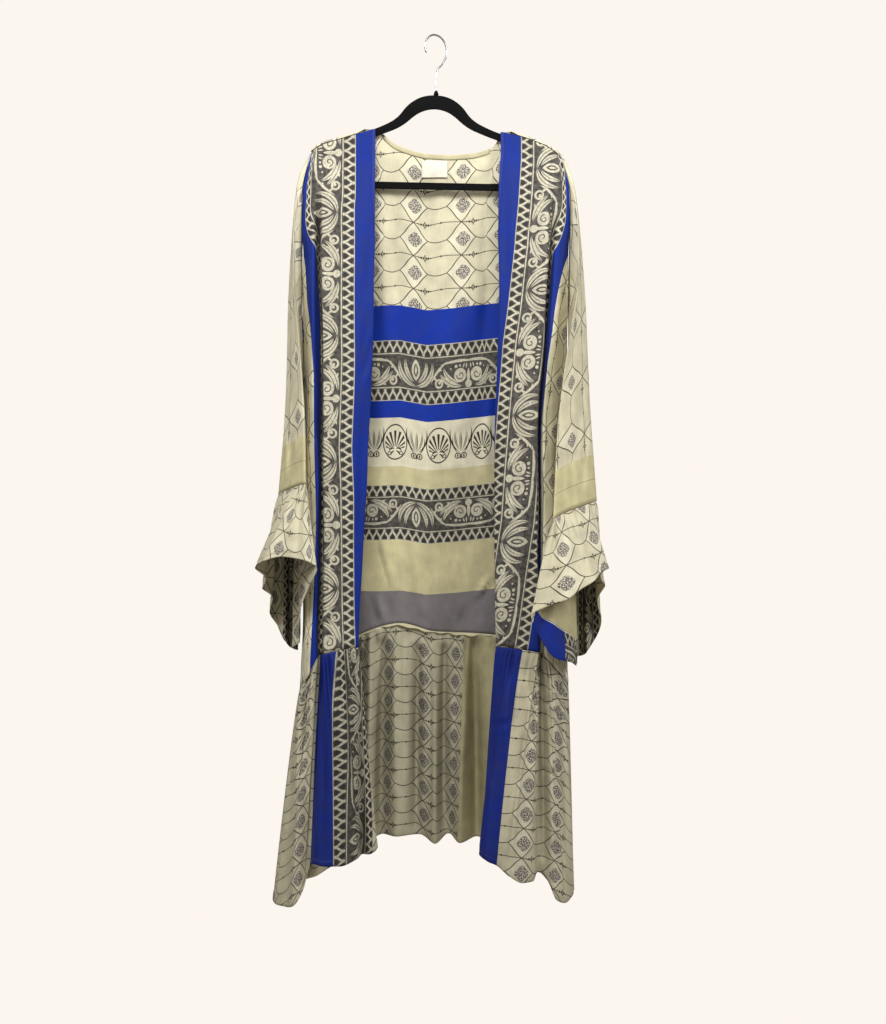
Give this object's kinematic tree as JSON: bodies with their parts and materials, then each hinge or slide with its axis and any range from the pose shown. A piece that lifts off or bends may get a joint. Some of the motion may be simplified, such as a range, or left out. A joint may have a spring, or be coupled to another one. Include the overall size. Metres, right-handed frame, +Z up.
{
  "type": "kimono robe on a hanger",
  "caption": "Long open-front kimono-style robe with flounced sleeves and a gathered skirt tier, hung on a slim hanger with a wire hook.",
  "frame": {"origin": "inner top of the hanger's hook, where it hangs on a rail", "axes": "+Z up, +Y towards the back of the robe, so -Y is its open front; +X towards the right in the picture, which is the side of the wearer's left arm"},
  "size_m": [0.5549, 0.1862, 1.3818],
  "materials": {
    "cream_print": "soft woven print, low sheen",
    "border_print": "soft woven border print, low sheen",
    "black_flock": "fine black flock",
    "bright_wire": "bright"
  },
  "bodies": {
    "root": {"front_left": "border_print", "front_right": "border_print", "back_panel": "cream_print", "skirt_left": "border_print", "skirt_right": "border_print", "skirt_back": "cream_print", "sleeve_left": "cream_print", "sleeve_right": "cream_print", "flounce_left": "cream_print", "flounce_right": "cream_print", "edge_strip_left": "border_print", "edge_strip_right": "border_print", "neck_binding": "cream_print", "neck_label": "cream_print", "hanger_body": "black_flock", "hook_collar": "black_flock", "hook": "bright_wire"}
  },
  "joints": []
}
